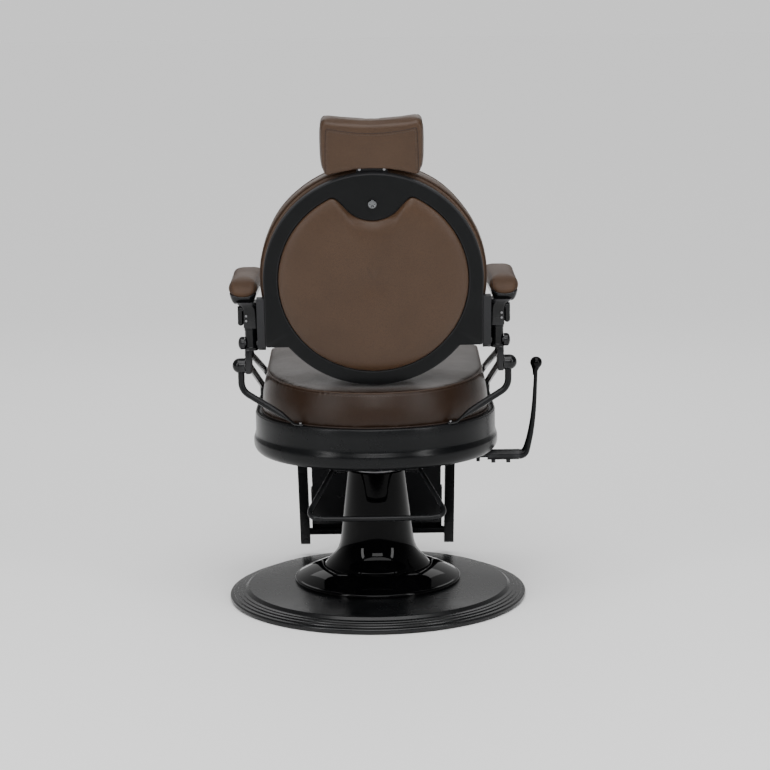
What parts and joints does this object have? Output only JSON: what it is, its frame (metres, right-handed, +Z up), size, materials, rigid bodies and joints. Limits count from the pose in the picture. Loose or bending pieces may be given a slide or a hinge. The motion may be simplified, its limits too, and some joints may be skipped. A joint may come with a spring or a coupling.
{
  "type": "barber chair",
  "caption": "Hydraulic barber chair with a round reclining back, sliding headrest, swing-out footrest and foot pump on a heavy round base.",
  "frame": {"origin": "centre of the base's underside, on the floor", "axes": "+Z up, +Y the way the sitter faces, +X the sitter's right"},
  "size_m": [0.7419, 0.743, 1.1448],
  "materials": {
    "satin_black_metal": "satin black powder coat",
    "matte_black_metal": "matte black powder coat",
    "gloss_black_metal": "gloss black",
    "bright_steel": "polished",
    "dark_steel": "machined",
    "brown_leather": "brown, soft sheen",
    "black_rubber": "matte",
    "board": "plywood"
  },
  "bodies": {
    "base": {"ballast_plate": "dark_steel", "floor_ring": "black_rubber", "base_dish": "satin_black_metal", "base_flange": "gloss_black_metal", "column_shroud": "gloss_black_metal", "shroud_collar": "dark_steel", "pump_cylinder": "dark_steel", "gland_nut": "dark_steel", "pump_bolts": "dark_steel"},
    "ram": {"ram": "bright_steel", "piston": "dark_steel", "thrust_washer": "bright_steel"},
    "seat": {"pump_head": "satin_black_metal", "pedal_shaft": "dark_steel", "seat_mount_plate": "satin_black_metal", "mount_bolts": "dark_steel", "seat_rails": "satin_black_metal", "footrest_shaft": "dark_steel", "seat_pan": "satin_black_metal", "seat_skirt": "satin_black_metal", "seat_board": "board", "seat_cushion": "brown_leather", "lever_bracket": "satin_black_metal", "side_casting_left": "satin_black_metal", "side_casting_right": "satin_black_metal", "rear_leg_left": "satin_black_metal", "rear_leg_right": "satin_black_metal", "lower_rail_left": "satin_black_metal", "lower_rail_right": "satin_black_metal", "upper_rail_left": "satin_black_metal", "upper_rail_right": "satin_black_metal", "dome_caps": "satin_black_metal", "leg_bolts": "bright_steel", "pivot_bolts": "satin_black_metal", "neck_screws": "bright_steel", "arm_bracket_left": "satin_black_metal", "arm_bracket_right": "satin_black_metal", "arm_pad_left": "brown_leather", "arm_pad_right": "brown_leather"},
    "back": {"back_frame": "matte_black_metal", "back_board": "board", "rear_pad": "brown_leather", "back_cushion": "brown_leather", "hinge_plate_left": "matte_black_metal", "hinge_plate_right": "matte_black_metal", "headrest_guide": "dark_steel", "clamp_screw": "bright_steel"},
    "headrest": {"headrest_bar": "satin_black_metal", "headrest_pad": "brown_leather", "headrest_screws": "bright_steel"},
    "footrest": {"footrest_frame": "satin_black_metal", "footrest_panel": "satin_black_metal"},
    "foot_plate": {"foot_plate": "satin_black_metal"},
    "pedal": {"pedal_bar": "satin_black_metal"},
    "lever": {"recline_lever": "satin_black_metal", "lever_knob": "gloss_black_metal", "lever_screws": "dark_steel"},
    "trigger_left": {"trigger_left": "satin_black_metal"},
    "trigger_right": {"trigger_right": "satin_black_metal"}
  },
  "joints": [
    {"name": "lift", "type": "slide", "parent": "base", "child": "ram", "axis": [0, 0, 1], "range_m": [0, 0.15]},
    {"name": "swivel", "type": "hinge", "parent": "ram", "child": "seat", "pos_m": [0, 0, 0.3206], "axis": [0, 0, 1], "continuous": true},
    {"name": "recline", "type": "hinge", "parent": "seat", "child": "back", "pos_m": [0, -0.19, 0.636], "axis": [1, 0, 0], "range_deg": [0, 50]},
    {"name": "headrest_slide", "type": "slide", "parent": "back", "child": "headrest", "axis": [0, -0.1822, 0.9833], "range_m": [0, 0.06]},
    {"name": "footrest_swing", "type": "hinge", "parent": "seat", "child": "footrest", "pos_m": [0, 0.215, 0.332], "axis": [1, 0, 0], "range_deg": [0, 50]},
    {"name": "foot_plate_flip", "type": "hinge", "parent": "footrest", "child": "foot_plate", "pos_m": [0, 0.38116, 0.06064], "axis": [-1, 0, 0], "range_deg": [0, 100]},
    {"name": "pedal_pump", "type": "hinge", "parent": "seat", "child": "pedal", "pos_m": [0, -0.062, 0.3183], "axis": [1, 0, 0], "range_deg": [0, 22], "stiffness_Nm_per_rad": 20, "springref_deg": -22.92},
    {"name": "lever_pull", "type": "hinge", "parent": "seat", "child": "lever", "pos_m": [0, 0, 0.3336], "axis": [1, 0, 0], "range_deg": [0, 25], "stiffness_Nm_per_rad": 8, "springref_deg": -22.92},
    {"name": "trigger_left_pull", "type": "hinge", "parent": "seat", "child": "trigger_left", "pos_m": [0, -0.195, 0.714], "axis": [-1, 0, 0], "range_deg": [0, 15], "stiffness_Nm_per_rad": 0.5, "springref_deg": -28.65},
    {"name": "trigger_right_pull", "type": "hinge", "parent": "seat", "child": "trigger_right", "pos_m": [0, -0.195, 0.714], "axis": [-1, 0, 0], "range_deg": [0, 15], "stiffness_Nm_per_rad": 0.5, "springref_deg": -28.65}
  ],
  "couplings": [
    {"joint": "footrest_swing", "follows": "recline", "ratio": 1}
  ]
}
